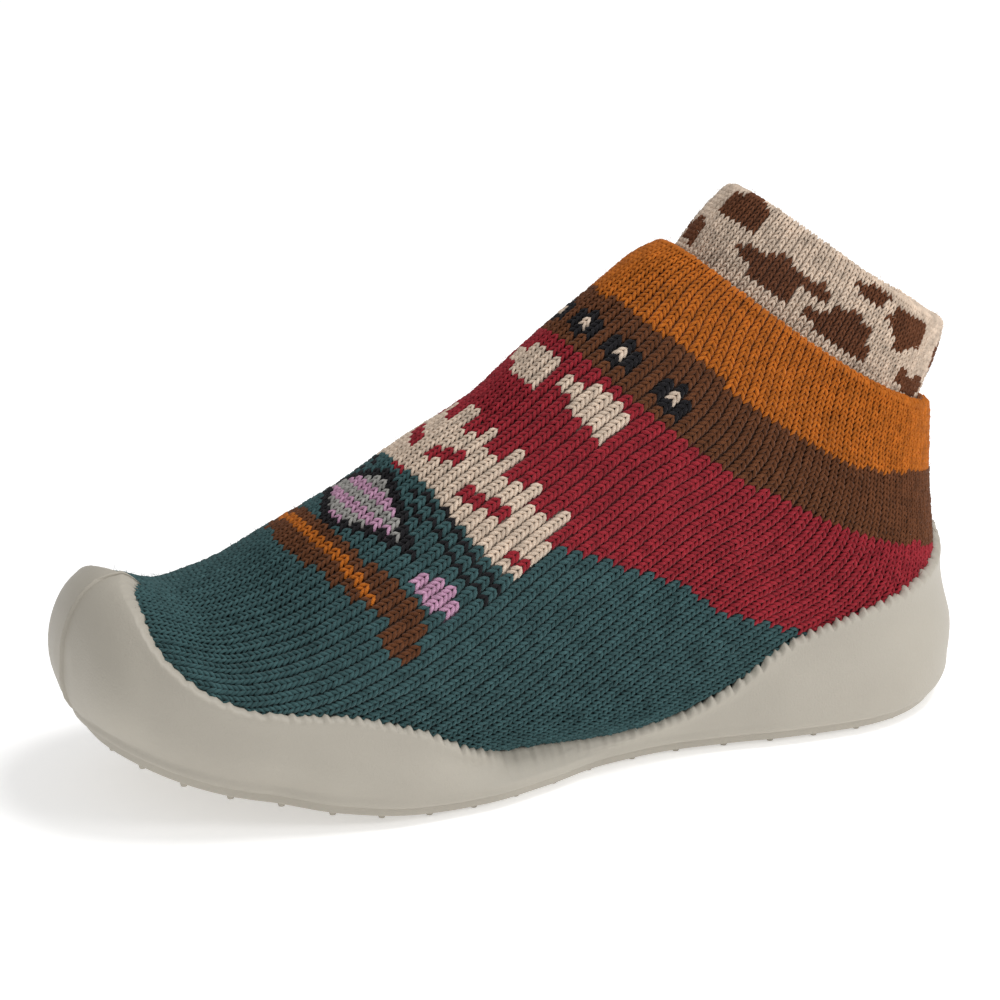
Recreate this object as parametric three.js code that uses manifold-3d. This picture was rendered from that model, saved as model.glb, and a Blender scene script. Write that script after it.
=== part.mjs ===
// A child's slipper sock: a thick knitted sock with a doubled welt cuff, moulded into a one-piece rubber sole.
// Millimetres. +X points to the toe, +Y to the wearer's left, +Z up. The origin is the centre of the
// footprint's bounding box, on the floor that the sole's nubs stand on.
import * as THREE from "three";
import { mergeVertices } from "three/addons/utils/BufferGeometryUtils.js";
import Module from "manifold-3d";

const wasm = await Module();
wasm.setup();

// Driving sizes of the knit
const sockLength = 154; // outside, heel to toe
const sockHeight = 77.5; // from the underside of the knit to the top of its last band, at the instep
const sockWidth = 57; // outside, across the ball
const knitWall = 2.2; // the knit with its looped lining
const cuffWall = 2.8; // the welt, folded double
const cuffRise = 15; // of the welt above the last band, along the leg
const fitGap = 0.3; // between two pieces that touch

// Driving sizes of the rubber
const bottomThickness = 3; // under the foot, tread included, nubs not
const toeSpring = 12; // rise of the sole's tip above its flat
const heelLift = 1.6; // rise of the heel's rounded back edge
const lipThickness = 1.3; // where the rubber ends on the knit
const bumperThickness = 1.7; // the least there is outside the knit, at the sole's widest line
const bumperHeight = 3.4; // of that line above the tread's underside
const treadThickness = 1.7; // the slab under the bumper's step
const treadInset = 1.2; // of the tread from the bumper
const nubHeight = 0.8;
const nubRadius = 1;
const nubPitch = 8;
const seamWidth = 1; // the mould's parting line over the toe
const seamHeight = 0.4;
const studRadius = 2.2; // the round grips on the back of the heel
const studHeight = 1.2;

// Mesh fineness
const aroundSock = 36;
const alongSock = 27;
const sideStations = 15;
const turnStations = 7; // in each quarter turn at heel and toe
const wallRows = 6;
const hiddenRows = 2; // of the sock's mesh, along the welt's hidden end inside the last band

// Sections of the sock, toe to top band. Each is a loop that stands on its low point (the sole or the heel)
// and leans to its high point (the instep). Every x is a share of sockLength from the heel, every z a share
// of sockHeight above the sole's own line, half and shift are shares of sockWidth. square is the power of
// the loop's lower half, and droop bows the loop downwards, as a share of its height.
const sockSections = [
  { highX: 1, highZ: 0.155, lowX: 1, lowZ: 0.075, half: 0.08, shift: -0.02, square: 2, droop: 0 },
  { highX: 0.992, highZ: 0.215, lowX: 0.992, lowZ: 0.028, half: 0.18, shift: -0.02, square: 2, droop: 0 },
  { highX: 0.976, highZ: 0.272, lowX: 0.975, lowZ: 0.006, half: 0.265, shift: -0.02, square: 2.1, droop: 0 },
  { highX: 0.955, highZ: 0.305, lowX: 0.95, lowZ: 0, half: 0.325, shift: -0.02, square: 2.2, droop: 0 },
  { highX: 0.93, highZ: 0.314, lowX: 0.92, lowZ: 0, half: 0.38, shift: -0.02, square: 2.4, droop: 0 },
  { highX: 0.884, highZ: 0.304, lowX: 0.862, lowZ: 0, half: 0.44, shift: -0.015, square: 2.6, droop: 0 },
  { highX: 0.817, highZ: 0.352, lowX: 0.773, lowZ: 0, half: 0.49, shift: -0.01, square: 2.9, droop: 0 },
  { highX: 0.748, highZ: 0.446, lowX: 0.664, lowZ: 0, half: 0.51, shift: 0, square: 3.4, droop: 0 },
  { highX: 0.674, highZ: 0.541, lowX: 0.536, lowZ: 0, half: 0.495, shift: 0.005, square: 4, droop: 0 },
  { highX: 0.605, highZ: 0.632, lowX: 0.408, lowZ: 0, half: 0.47, shift: 0.005, square: 5, droop: 0 },
  { highX: 0.536, highZ: 0.704, lowX: 0.27, lowZ: 0, half: 0.45, shift: 0, square: 4.6, droop: 0.01 },
  { highX: 0.474, highZ: 0.802, lowX: 0.141, lowZ: 0, half: 0.44, shift: 0, square: 3.6, droop: 0.02 },
  { highX: 0.432, highZ: 0.864, lowX: 0.057, lowZ: 0.024, half: 0.435, shift: 0, square: 3, droop: 0.03 },
  { highX: 0.398, highZ: 0.908, lowX: 0.01, lowZ: 0.095, half: 0.43, shift: 0, square: 2.6, droop: 0.04 },
  { highX: 0.368, highZ: 0.946, lowX: 0, lowZ: 0.229, half: 0.42, shift: 0, square: 2.3, droop: 0.045 },
  { highX: 0.336, highZ: 0.982, lowX: 0.003, lowZ: 0.411, half: 0.405, shift: 0, square: 2, droop: 0.05 },
  { highX: 0.301, highZ: 1, lowX: 0.006, lowZ: 0.573, half: 0.385, shift: 0, square: 2, droop: 0.05 },
];

// The welt above the band, row by row. rise is along the leg and lean towards the instep, as shares of
// cuffRise. depth and width narrow the band's own top loop, front to back and across. drop lowers the heel side.
const cuffLoops = [
  { rise: 0.14, lean: 0, depth: 0.99, width: 0.99, drop: 0 },
  { rise: 0.42, lean: 0.01, depth: 0.97, width: 0.98, drop: 0.04 },
  { rise: 0.7, lean: 0.01, depth: 0.94, width: 0.95, drop: 0.1 },
  { rise: 0.92, lean: 0.02, depth: 0.9, width: 0.905, drop: 0.14 },
];

// The rubber around the foot. place goes from the middle of the heel (0) past the side (heelTurn to toeTurn)
// to the middle of the toe (1). edge is the angle of the upper edge above the level of the foot's middle line,
// in degrees, and reach is that of the bumper from the middle line, as a share of sockWidth.
const heelTurn = 0.2;
const toeTurn = 0.8;
const rubberRows = [
  { place: 0, edge: 25, reach: 0.515 },
  { place: 0.1, edge: 18, reach: 0.5 },
  { place: 0.2, edge: 13.5, reach: 0.495 },
  { place: 0.27, edge: 7.5, reach: 0.475 },
  { place: 0.33, edge: -6, reach: 0.44 },
  { place: 0.4, edge: -16, reach: 0.415 },
  { place: 0.46, edge: -19, reach: 0.43 },
  { place: 0.53, edge: -19, reach: 0.495 },
  { place: 0.6, edge: -12, reach: 0.54 },
  { place: 0.67, edge: -3, reach: 0.545 },
  { place: 0.74, edge: 1, reach: 0.51 },
  { place: 0.8, edge: 6, reach: 0.44 },
  { place: 0.84, edge: 23, reach: 0.43 },
  { place: 0.88, edge: 41, reach: 0.42 },
  { place: 0.93, edge: 55, reach: 0.405 },
  { place: 1, edge: 61, reach: 0.395 },
];

// Places that follow from the sizes
const heelBack = -sockLength / 2;
const flatEnd = 0.64; // shares of sockLength where the sole leaves the floor, at the toe and at the heel
const heelFlatEnd = 0.1;
const toeShift = -0.02; // of the foot's middle line at the toe, as a share of sockWidth
const middleHeight = 0.14; // of the foot's middle line above the sole, as a share of sockHeight
const heelCentre = heelBack + 0.45 * sockWidth;
const toeCentre = heelBack + sockLength - 0.42 * sockWidth;

function xAt(share) {
  return heelBack + share * sockLength;
}

// Height of the tread's underside above the level that the nubs rise from.
function soleLine(x) {
  const front = Math.max(0, (x - xAt(flatEnd)) / (xAt(1) - xAt(flatEnd)));
  const back = Math.max(0, (xAt(heelFlatEnd) - x) / (xAt(heelFlatEnd) - xAt(0)));
  return nubHeight + toeSpring * front ** 1.8 + heelLift * back ** 2;
}

// Value of a table's column at a place between rows, with no overshoot past the rows' own values.
function tableValue(rows, at, column, t) {
  const k = Math.min(rows.length - 2, Math.max(0, rows.findIndex((row) => at(row) > t) - 1));
  const last = t >= at(rows[rows.length - 1]);
  const i = last ? rows.length - 2 : k;
  const slope = (a) => {
    if (a < 1 || a > rows.length - 2) return 0;
    const before = (rows[a][column] - rows[a - 1][column]) / (at(rows[a]) - at(rows[a - 1]));
    const after = (rows[a + 1][column] - rows[a][column]) / (at(rows[a + 1]) - at(rows[a]));
    return before * after <= 0 ? 0 : (2 * before * after) / (before + after);
  };
  const span = at(rows[i + 1]) - at(rows[i]);
  const end = (a) => {
    if (a > 0 && a < rows.length - 1) return slope(a);
    const chord = (rows[i + 1][column] - rows[i][column]) / span;
    const inner = slope(a === 0 ? 1 : rows.length - 2);
    return inner === 0 ? chord : 1.5 * chord - 0.5 * inner;
  };
  const f = (t - at(rows[i])) / span;
  const h = [2 * f ** 3 - 3 * f ** 2 + 1, f ** 3 - 2 * f ** 2 + f, -2 * f ** 3 + 3 * f ** 2, f ** 3 - f ** 2];
  return h[0] * rows[i][column] + h[1] * span * end(i) + h[2] * rows[i + 1][column] + h[3] * span * end(i + 1);
}

// One column of the sock's sections at t, from 0 at the toe to 1 at the top band.
function sectionValue(column, t) {
  const steps = sockSections.length - 1;
  return tableValue(sockSections, (row) => sockSections.indexOf(row) / steps, column, t);
}

// Point of the knit's outside. turn goes once round the loop from the instep by way of the wearer's left.
function sockPoint(t, turn) {
  const highX = xAt(sectionValue("highX", t));
  const lowX = xAt(sectionValue("lowX", t));
  const high = new THREE.Vector3(highX, 0, soleLine(highX) + bottomThickness + sectionValue("highZ", t) * sockHeight);
  const low = new THREE.Vector3(lowX, 0, soleLine(lowX) + bottomThickness + sectionValue("lowZ", t) * sockHeight);
  const c = Math.cos(2 * Math.PI * turn);
  const s = Math.sin(2 * Math.PI * turn);
  const power = 2 / (c < 0 ? sectionValue("square", t) : 2);
  const along = Math.sign(c) * Math.abs(c) ** power;
  const side = Math.sign(s) * Math.abs(s) ** power;
  const leg = high.clone().sub(low);
  const bow = new THREE.Vector3(leg.z, 0, -leg.x).multiplyScalar(sectionValue("droop", t) * (1 - along ** 2));
  const point = low.lerp(high, (1 + along) / 2).add(bow);
  point.y = sockWidth * (sectionValue("shift", t) + sectionValue("half", t) * side);
  return point;
}

// Loops of points, and the outward normal at each point.
function normalsOf(loops) {
  return loops.map((loop, i) =>
    loop.map((point, j) => {
      const next = loops[Math.min(i + 1, loops.length - 1)][j];
      const last = loops[Math.max(i - 1, 0)][j];
      const left = loop[(j + 1) % loop.length];
      const right = loop[(j + loop.length - 1) % loop.length];
      return left.clone().sub(right).cross(next.clone().sub(last)).normalize();
    }),
  );
}

// The loops moved along their outward normals by a distance that may differ from loop to loop.
function offsetLoops(loops, distance) {
  const normals = normalsOf(loops);
  return loops.map((loop, i) => loop.map((point, j) => point.clone().addScaledVector(normals[i][j], distance(i))));
}

// A geometry through loops of equal count. ends says how it closes: "middles" closes each end onto its
// middle, "ring" joins the last loop to the first, and "none" leaves ends that are closed already.
function skin(loops, ends = "middles") {
  const count = loops[0].length;
  const points = loops.flat();
  const faces = [];
  const bands = ends === "ring" ? loops.length : loops.length - 1;
  for (let i = 0; i < bands; i++) {
    for (let j = 0; j < count; j++) {
      const a = i * count + j;
      const b = i * count + ((j + 1) % count);
      const c = ((i + 1) % loops.length) * count + j;
      const d = ((i + 1) % loops.length) * count + ((j + 1) % count);
      faces.push(a, b, c, b, d, c);
    }
  }
  if (ends === "middles") {
    for (const [end, first] of [[0, true], [loops.length - 1, false]]) {
      const middle = new THREE.Vector3();
      loops[end].forEach((point) => middle.addScaledVector(point, 1 / count));
      const m = points.push(middle) - 1;
      for (let j = 0; j < count; j++) {
        const a = end * count + j;
        const b = end * count + ((j + 1) % count);
        faces.push(...(first ? [m, b, a] : [m, a, b]));
      }
    }
  }
  const geometry = new THREE.BufferGeometry().setFromPoints(points);
  geometry.setIndex(faces);
  return geometry;
}

// A closed geometry as a solid, and back.
function solidOf(geometry) {
  const plain = new THREE.BufferGeometry().setAttribute("position", geometry.getAttribute("position"));
  plain.setIndex(geometry.index);
  const merged = mergeVertices(plain, 1e-4);
  const corners = merged.index.array;
  const kept = [];
  for (let i = 0; i < corners.length; i += 3) {
    const [a, b, c] = corners.slice(i, i + 3);
    if (a !== b && b !== c && c !== a) kept.push(a, b, c);
  }
  const vertProperties = new Float32Array(merged.getAttribute("position").array);
  return new wasm.Manifold(new wasm.Mesh({ numProp: 3, vertProperties, triVerts: new Uint32Array(kept) }));
}

function geometryOf(solid) {
  const mesh = solid.getMesh();
  const geometry = new THREE.BufferGeometry();
  geometry.setAttribute("position", new THREE.BufferAttribute(new Float32Array(mesh.vertProperties), 3));
  geometry.setIndex(new THREE.BufferAttribute(new Uint32Array(mesh.triVerts), 1));
  geometry.computeVertexNormals();
  return geometry;
}

// Loops of the knit's outside between two values of t, closer together at the toe, where it curves most.
function sockLoops(from, to, steps) {
  return Array.from({ length: steps + 1 }, (_, i) => {
    const t = from + (to - from) * (i / steps);
    return Array.from({ length: aroundSock }, (_, j) => sockPoint(t, j / aroundSock));
  });
}

// The knitted sock: closed at the toe, under the foot and round the heel, open at its top band.
const outerLoops = sockLoops(0, 1, alongSock);
const firstInner = 3; // the knit's toe is solid as far as this loop
const innerLoops = offsetLoops(outerLoops, () => -knitWall).slice(firstInner);

function sockBody() {
  return skin([...outerLoops, ...innerLoops.reverse()]);
}

// The welt cuff: its hidden end stands inside the top band, and it narrows to the folded rim.
function cuff() {
  const hidden = offsetLoops(outerLoops, () => -knitWall - fitGap).slice(-hiddenRows - 1);
  const top = hidden[hidden.length - 1];
  const middle = new THREE.Vector3();
  top.forEach((point) => middle.addScaledVector(point, 1 / top.length));
  const across = top[0].clone().sub(top[aroundSock / 2]).normalize();
  const upward = new THREE.Vector3(-across.z, 0, across.x);
  const shown = cuffLoops.map((row) =>
    top.map((point, j) => {
      const heelSide = (1 - Math.cos((2 * Math.PI * j) / aroundSock)) / 2;
      const arm = point.clone().sub(middle).multiplyScalar(row.depth);
      arm.y *= row.width / row.depth;
      arm.addScaledVector(across, cuffRise * row.lean);
      return middle.clone().add(arm).addScaledVector(upward, cuffRise * (row.rise - row.drop * heelSide));
    }),
  );
  const outside = [...hidden, ...shown];
  const rim = offsetLoops(outside, () => -cuffWall / 2).pop();
  rim.forEach((point) => point.addScaledVector(upward, cuffWall / 2));
  const inside = offsetLoops(outside, () => -cuffWall).reverse();
  return skin([...outside, rim, ...inside], "ring");
}

// One station of the rubber: a vertical plane through a point of the foot's middle line, which may be moved
// sideways. ridge raises its wall, for the mould's parting line over the toe. place is as in
// edgeRows, and side is 1 on the wearer's left and -1 on the right.
const knitSurface = new THREE.Mesh(skin(outerLoops), new THREE.MeshBasicMaterial({ side: THREE.DoubleSide }));
const raycaster = new THREE.Raycaster();

function station(place, side, sideways = 0, ridge = 0) {
  const turn = place < heelTurn ? 1 - place / heelTurn : Math.max(0, (place - toeTurn) / (1 - toeTurn));
  const toToe = place < heelTurn ? -1 : 1;
  const along = Math.min(1, Math.max(0, (place - heelTurn) / (toeTurn - heelTurn)));
  const x = heelCentre + along * (toeCentre - heelCentre);
  const y = sockWidth * toeShift * along ** 3 + sideways;
  const centre = new THREE.Vector3(x, y, soleLine(x) + bottomThickness + middleHeight * sockHeight);
  const angle = (turn * Math.PI) / 2;
  const outward = new THREE.Vector3(toToe * Math.sin(angle), side * Math.cos(angle), 0);
  return { place, centre, outward, ridge };
}

// Where a ray from the station's centre, at an angle above the level, leaves the knit, and how much longer
// than the rubber's thickness its way through the rubber is.
function knitReach({ centre, outward }, angle) {
  const direction = outward.clone().multiplyScalar(Math.cos(angle)).setZ(Math.sin(angle));
  raycaster.set(centre, direction);
  const hits = raycaster.intersectObject(knitSurface);
  const last = hits[hits.length - 1];
  const slant = 1 / Math.max(0.5, Math.abs(last.face.normal.dot(direction)));
  return { distance: last.distance, direction, slant };
}

function rubberValue(column, place) {
  return tableValue(rubberRows, (row) => row.place, column, place);
}

// The rubber's outside at a station, from the lip down the wall to the bumper, the step, the tread and the
// middle of the underside. The wall is thin at the lip and swells towards the bumper.
function soleProfile(spot) {
  const level = (out, height) => {
    const point = spot.centre.clone().addScaledVector(spot.outward, out);
    return point.setZ(soleLine(point.x) + height);
  };
  const reach = rubberValue("reach", spot.place) * sockWidth;
  const bumper = level(reach, bumperHeight).sub(spot.centre);
  const bottom = Math.asin(bumper.z / bumper.length());
  const top = Math.max(THREE.MathUtils.degToRad(rubberValue("edge", spot.place)), bottom + 0.07);
  const under = knitReach(spot, bottom);
  const bumperGain = Math.max(bumperThickness, bumper.length() - under.distance);
  const profile = [];
  for (let i = 0; i <= wallRows; i++) {
    const f = i / wallRows;
    const { distance, direction, slant } = knitReach(spot, top + (bottom - top) * f);
    const ridge = i < wallRows ? spot.ridge : 0;
    const thickness = slant * lipThickness * (1 - f ** 2) + bumperGain * f ** 2 + ridge;
    profile.push(spot.centre.clone().addScaledVector(direction, distance + thickness));
  }
  const widest = under.direction.dot(spot.outward) * (under.distance + bumperGain);
  const tread = Math.min(widest, reach) - treadInset;
  profile.push(level(widest - 0.2, treadThickness), level(tread, treadThickness), level(tread, 0));
  profile.push(level(0.7 * tread, 0), level(0.35 * tread, 0), level(0, 0));
  return profile;
}

// Stations all the way round, from the middle of the heel by the left side to the toe and back.
function stationPlaces() {
  const places = [];
  for (let i = 0; i < turnStations; i++) places.push((heelTurn * i) / turnStations);
  for (let i = 0; i < sideStations; i++) places.push(heelTurn + ((toeTurn - heelTurn) * i) / sideStations);
  for (let i = 0; i < turnStations; i++) places.push(toeTurn + ((1 - toeTurn) * i) / turnStations);
  return places;
}

const leftSide = stationPlaces().map((place) => station(place, 1));
const rightSide = stationPlaces().slice(1).reverse().map((place) => station(place, -1));
const seam = [
  station(1, 1, seamWidth / 2),
  station(1, 1, 0, seamHeight),
  station(1, 1, -seamWidth / 2),
];
const stations = [...leftSide, ...seam, ...rightSide];
const profiles = stations.map(soleProfile);

// Outline of the tread, as the points where its wall meets its underside.
const treadOutline = profiles.map((profile) => profile[wallRows + 3]);

// The rubber's outside as a closed form, capped from the lip to the foot's middle line.
function soleForm() {
  const rows = profiles[0].map((_, i) => profiles.map((profile) => profile[i]));
  return solidOf(skin([stations.map((spot) => spot.centre), ...rows], "none"));
}

// Whether a place on the underside is inside the tread's outline by a margin.
function onTread(x, y, margin) {
  const shape = treadOutline;
  let inside = false;
  let nearest = Infinity;
  shape.forEach((p, i) => {
    const q = shape[(i + 1) % shape.length];
    if (p.y > y !== q.y > y && x < p.x + ((q.x - p.x) * (y - p.y)) / (q.y - p.y)) inside = !inside;
    const line = new THREE.Line3(new THREE.Vector3(p.x, p.y, 0), new THREE.Vector3(q.x, q.y, 0));
    const spot = new THREE.Vector3(x, y, 0);
    nearest = Math.min(nearest, line.closestPointToPoint(spot, true, new THREE.Vector3()).distanceTo(spot));
  });
  return inside && nearest > margin;
}

// Rows of round nubs under the tread, every other row moved by half a pitch.
function nubSpots() {
  const rowGap = (nubPitch * Math.sqrt(3)) / 2;
  const rows = Math.ceil(sockLength / 2 / rowGap);
  const spots = [];
  for (let i = -rows; i <= rows; i++) {
    const columns = Math.ceil(sockWidth / nubPitch);
    for (let j = -columns; j <= columns; j++) {
      const x = i * rowGap;
      const y = (j + (i % 2 ? 0.5 : 0)) * nubPitch;
      if (onTread(x, y, nubRadius + 0.6)) spots.push([x, y]);
    }
  }
  return spots;
}

function frustum(radius, tip, length, sides) {
  return new THREE.CylinderGeometry(tip, radius, length, sides);
}

const root = 0.6; // how deep a nub or stud is sunk into the rubber

function nubSolids() {
  return nubSpots().map(([x, y]) => {
    const height = nubHeight + root;
    const nub = frustum(nubRadius * 1.05, nubRadius * 0.75, height, 6);
    nub.rotateX(-Math.PI / 2);
    nub.translate(x, y, soleLine(x) - nubHeight + height / 2);
    return solidOf(nub);
  });
}

// Round grips on the back of the heel, one above the other.
const heelStuds = [
  { height: 0.19, size: 1 },
  { height: 0.095, size: 0.75 },
];

function studSolids() {
  const profile = profiles[0];
  return heelStuds.map(({ height, size }) => {
    const z = soleLine(profile[0].x) + height * sockHeight;
    const k = Math.max(1, profile.findIndex((point) => point.z < z));
    const f = (profile[k - 1].z - z) / (profile[k - 1].z - profile[k].z);
    const point = profile[k - 1].clone().lerp(profile[k], f);
    const stud = frustum(studRadius * size, studRadius * size * 0.8, studHeight + root, 12);
    stud.rotateZ(Math.PI / 2);
    stud.translate(point.x - (studHeight - root) / 2, point.y, z);
    return solidOf(stud);
  });
}

function rubberSole() {
  const hollow = solidOf(skin(offsetLoops(outerLoops, () => fitGap)));
  const whole = wasm.Manifold.union([soleForm(), ...nubSolids(), ...studSolids()]);
  const bodies = whole.subtract(hollow).simplify(0.005).decompose();
  return geometryOf(bodies.reduce((best, body) => (body.volume() > best.volume() ? body : best)));
}

function piece(name, geometry, colour, roughness) {
  geometry.computeVertexNormals();
  const mesh = new THREE.Mesh(geometry, new THREE.MeshStandardMaterial({ color: colour, roughness, metalness: 0 }));
  mesh.name = name;
  return mesh;
}

const slipper = new THREE.Group();
slipper.add(piece("sock_body", sockBody(), "#35595c", 0.95));
slipper.add(piece("cuff", cuff(), "#d9cdb8", 0.95));
slipper.add(piece("rubber_sole", rubberSole(), "#b3aba0", 0.6));

// The footprint's bounding box is centred on the origin.
const footprint = new THREE.Box3().setFromObject(slipper);
slipper.children.forEach((mesh) => {
  mesh.position.x = -(footprint.min.x + footprint.max.x) / 2;
  mesh.position.y = -(footprint.min.y + footprint.max.y) / 2;
});

export default slipper;
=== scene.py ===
import math

import bmesh
import bpy
import numpy as np
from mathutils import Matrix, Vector
from mathutils.bvhtree import BVHTree


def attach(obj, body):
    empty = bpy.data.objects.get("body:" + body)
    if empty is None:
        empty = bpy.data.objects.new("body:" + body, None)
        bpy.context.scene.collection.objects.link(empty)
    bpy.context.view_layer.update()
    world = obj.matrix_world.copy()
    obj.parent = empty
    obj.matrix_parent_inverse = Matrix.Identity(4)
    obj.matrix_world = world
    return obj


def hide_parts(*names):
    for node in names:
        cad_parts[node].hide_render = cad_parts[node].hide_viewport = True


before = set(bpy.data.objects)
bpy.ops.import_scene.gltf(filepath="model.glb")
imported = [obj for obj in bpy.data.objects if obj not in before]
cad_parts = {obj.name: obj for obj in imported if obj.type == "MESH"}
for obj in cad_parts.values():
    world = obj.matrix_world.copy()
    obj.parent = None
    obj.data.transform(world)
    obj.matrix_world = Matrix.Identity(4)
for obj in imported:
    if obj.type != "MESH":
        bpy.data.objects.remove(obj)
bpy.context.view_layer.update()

# Camera, floor and light. The camera stands about 25 degrees from the wearer's left side towards the toe
# and 20 degrees up. The slipper stands on a white sweep under soft studio light.
MM = 0.001
collection = bpy.context.scene.collection
AZIMUTH = math.radians(25)
ELEVATION = math.radians(20)
CAMERA_DISTANCE = 0.65
CAMERA_AIM = Vector((0, 0, 0.037))
level_reach = math.cos(ELEVATION)
toward = Vector((math.sin(AZIMUTH) * level_reach, math.cos(AZIMUTH) * level_reach, math.sin(ELEVATION)))
camera = bpy.data.objects.new("camera", bpy.data.cameras.new("camera"))
collection.objects.link(camera)
camera.location = CAMERA_AIM + CAMERA_DISTANCE * toward
camera.rotation_euler = (-toward).to_track_quat("-Z", "Y").to_euler()
camera.data.lens = 140.9
camera.data.shift_x = -0.019
camera.data.shift_y = 0.019
bpy.context.scene.camera = camera


def area_light(name, place, size, power):
    lamp = bpy.data.lights.new(name, "AREA")
    lamp.size = size
    lamp.energy = power
    light = bpy.data.objects.new(name, lamp)
    collection.objects.link(light)
    light.location = place
    light.rotation_euler = (Vector((0, 0, 0.03)) - Vector(place)).to_track_quat("-Z", "Y").to_euler()


area_light("top_softbox", (-0.3, 0.15, 0.9), 0.35, 4.0)
area_light("side_softbox", (-0.65, 0.7, 0.5), 0.3, 2.9)
world = bpy.data.worlds.new("studio")
bpy.context.scene.world = world
world.use_nodes = True
world.node_tree.nodes["Background"].inputs["Color"].default_value = (1, 1, 1, 1)
world.node_tree.nodes["Background"].inputs["Strength"].default_value = 0.5
bpy.context.scene.view_settings.view_transform = "Standard"

bpy.ops.mesh.primitive_plane_add(size=6)
floor = bpy.context.object
floor.name = "floor"
floor_finish = bpy.data.materials.new("floor_paper")
floor_finish.use_nodes = True
paper = floor_finish.node_tree.nodes["Principled BSDF"].inputs
paper["Base Color"].default_value = (0.93, 0.93, 0.93, 1)
paper["Roughness"].default_value = 0.9
paper["Emission Color"].default_value = (1, 1, 1, 1)
paper["Emission Strength"].default_value = 0.38
floor.data.materials.append(floor_finish)

# The sock's own form: leaning loops from the sole or heel to the instep, closed at the toe and open at the
# top band. Each row gives the loop's high and low points, half width, shift, squareness and droop.
SOCK_LENGTH, SOCK_HEIGHT, SOCK_WIDTH = 154.0, 77.5, 57.0
HEEL_BACK = -SOCK_LENGTH / 2
CENTRED = np.array((1.474, 0.515, 0.0))
SOLE_UNDER_FOOT = 3.0
SOCK_ROWS = np.array(
    [
        (1, 0.155, 1, 0.075, 0.08, -0.02, 2, 0),
        (0.992, 0.215, 0.992, 0.028, 0.18, -0.02, 2, 0),
        (0.976, 0.272, 0.975, 0.006, 0.265, -0.02, 2.1, 0),
        (0.955, 0.305, 0.95, 0, 0.325, -0.02, 2.2, 0),
        (0.93, 0.314, 0.92, 0, 0.38, -0.02, 2.4, 0),
        (0.884, 0.304, 0.862, 0, 0.44, -0.015, 2.6, 0),
        (0.817, 0.352, 0.773, 0, 0.49, -0.01, 2.9, 0),
        (0.748, 0.446, 0.664, 0, 0.51, 0, 3.4, 0),
        (0.674, 0.541, 0.536, 0, 0.495, 0.005, 4, 0),
        (0.605, 0.632, 0.408, 0, 0.47, 0.005, 5, 0),
        (0.536, 0.704, 0.27, 0, 0.45, 0, 4.6, 0.01),
        (0.474, 0.802, 0.141, 0, 0.44, 0, 3.6, 0.02),
        (0.432, 0.864, 0.057, 0.024, 0.435, 0, 3, 0.03),
        (0.398, 0.908, 0.01, 0.095, 0.43, 0, 2.6, 0.04),
        (0.368, 0.946, 0, 0.229, 0.42, 0, 2.3, 0.045),
        (0.336, 0.982, 0.003, 0.411, 0.405, 0, 2, 0.05),
        (0.301, 1, 0.006, 0.573, 0.385, 0, 2, 0.05),
    ]
)


def smooth_table(places, values, at):
    """Values between rows, with no overshoot past them."""
    places, values, at = np.asarray(places, float), np.asarray(values, float), np.asarray(at, float)
    chord = np.diff(values) / np.diff(places)
    slope = np.zeros(len(places))
    before, after = chord[:-1], chord[1:]
    total = np.where(before * after > 0, before + after, 1)
    slope[1:-1] = np.where(before * after > 0, 2 * before * after / total, 0)
    slope[0] = chord[0] if slope[1] == 0 else 1.5 * chord[0] - 0.5 * slope[1]
    slope[-1] = chord[-1] if slope[-2] == 0 else 1.5 * chord[-1] - 0.5 * slope[-2]
    i = np.clip(np.searchsorted(places, at, side="right") - 1, 0, len(places) - 2)
    span = places[i + 1] - places[i]
    f = (at - places[i]) / span
    ends = (2 * f**3 - 3 * f**2 + 1) * values[i] + (3 * f**2 - 2 * f**3) * values[i + 1]
    return ends + span * ((f**3 - 2 * f**2 + f) * slope[i] + (f**3 - f**2) * slope[i + 1])


NUB_HEIGHT = 0.8
TOE_SPRING, SPRING_FROM = 12, 0.64
HEEL_SPRING, HEEL_UP_TO = 1.6, 0.1


def sole_line(x):
    """Height of the tread's underside at x from the sock's middle."""
    front = np.maximum(0, (x - HEEL_BACK - SPRING_FROM * SOCK_LENGTH) / ((1 - SPRING_FROM) * SOCK_LENGTH))
    back = np.maximum(0, (HEEL_BACK + HEEL_UP_TO * SOCK_LENGTH - x) / (HEEL_UP_TO * SOCK_LENGTH))
    return NUB_HEIGHT + TOE_SPRING * front**1.8 + HEEL_SPRING * back**2


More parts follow.
